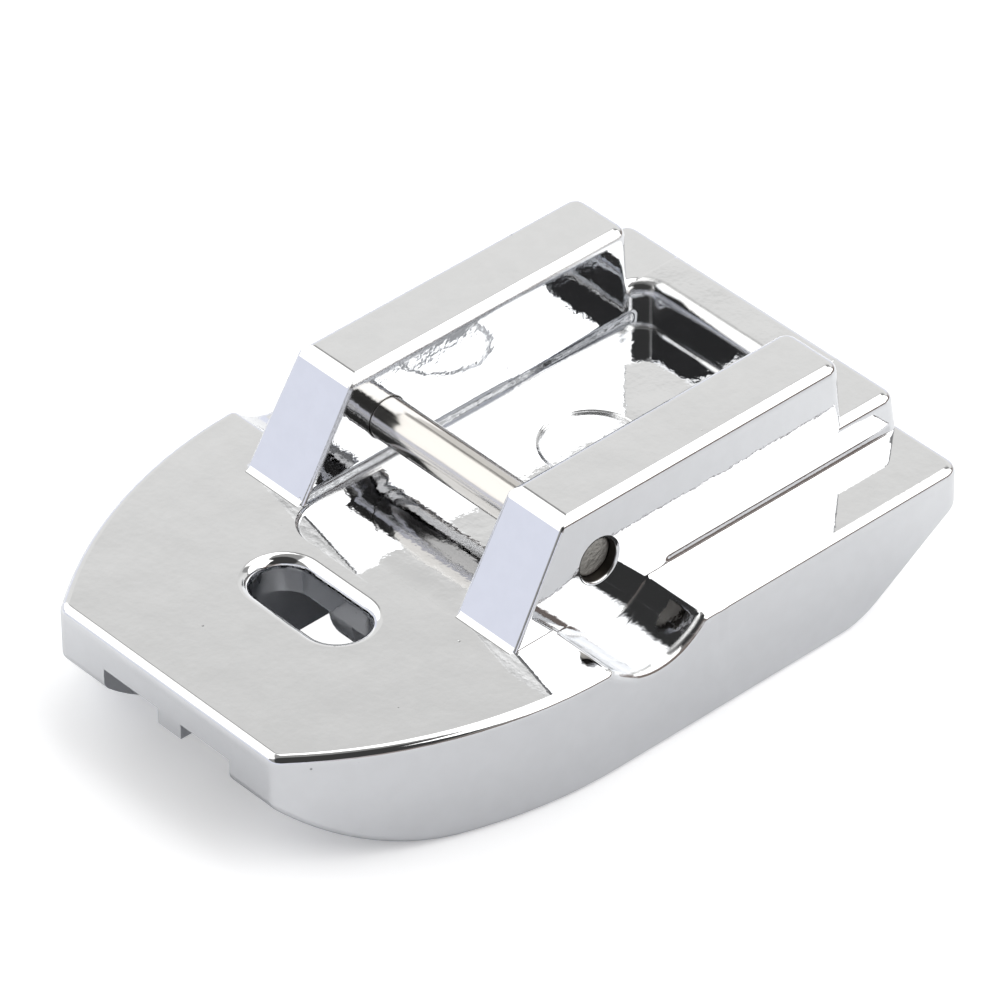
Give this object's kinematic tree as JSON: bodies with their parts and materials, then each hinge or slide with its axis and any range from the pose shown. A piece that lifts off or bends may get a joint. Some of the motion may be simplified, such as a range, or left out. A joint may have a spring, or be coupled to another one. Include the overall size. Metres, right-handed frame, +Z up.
{
  "type": "sewing machine presser foot",
  "caption": "Cast metal clip-on presser foot with a cross pin between raised ears, a needle slot and grooves for a concealed zip under its sole.",
  "frame": {"origin": "middle of the sole's outline, level with the flat of the sole on the needle plate", "axes": "+X across the foot, +Y from the toe to the heel, +Z up from the sole"},
  "size_m": [0.0182, 0.0258, 0.0081],
  "materials": {
    "plated_casting": "bright plated die casting with fine pits and a soft ripple",
    "pin_steel": "drawn steel wire, cut to length and pressed in"
  },
  "bodies": {
    "root": {"foot_body": "plated_casting", "cross_pin": "pin_steel"}
  },
  "joints": []
}
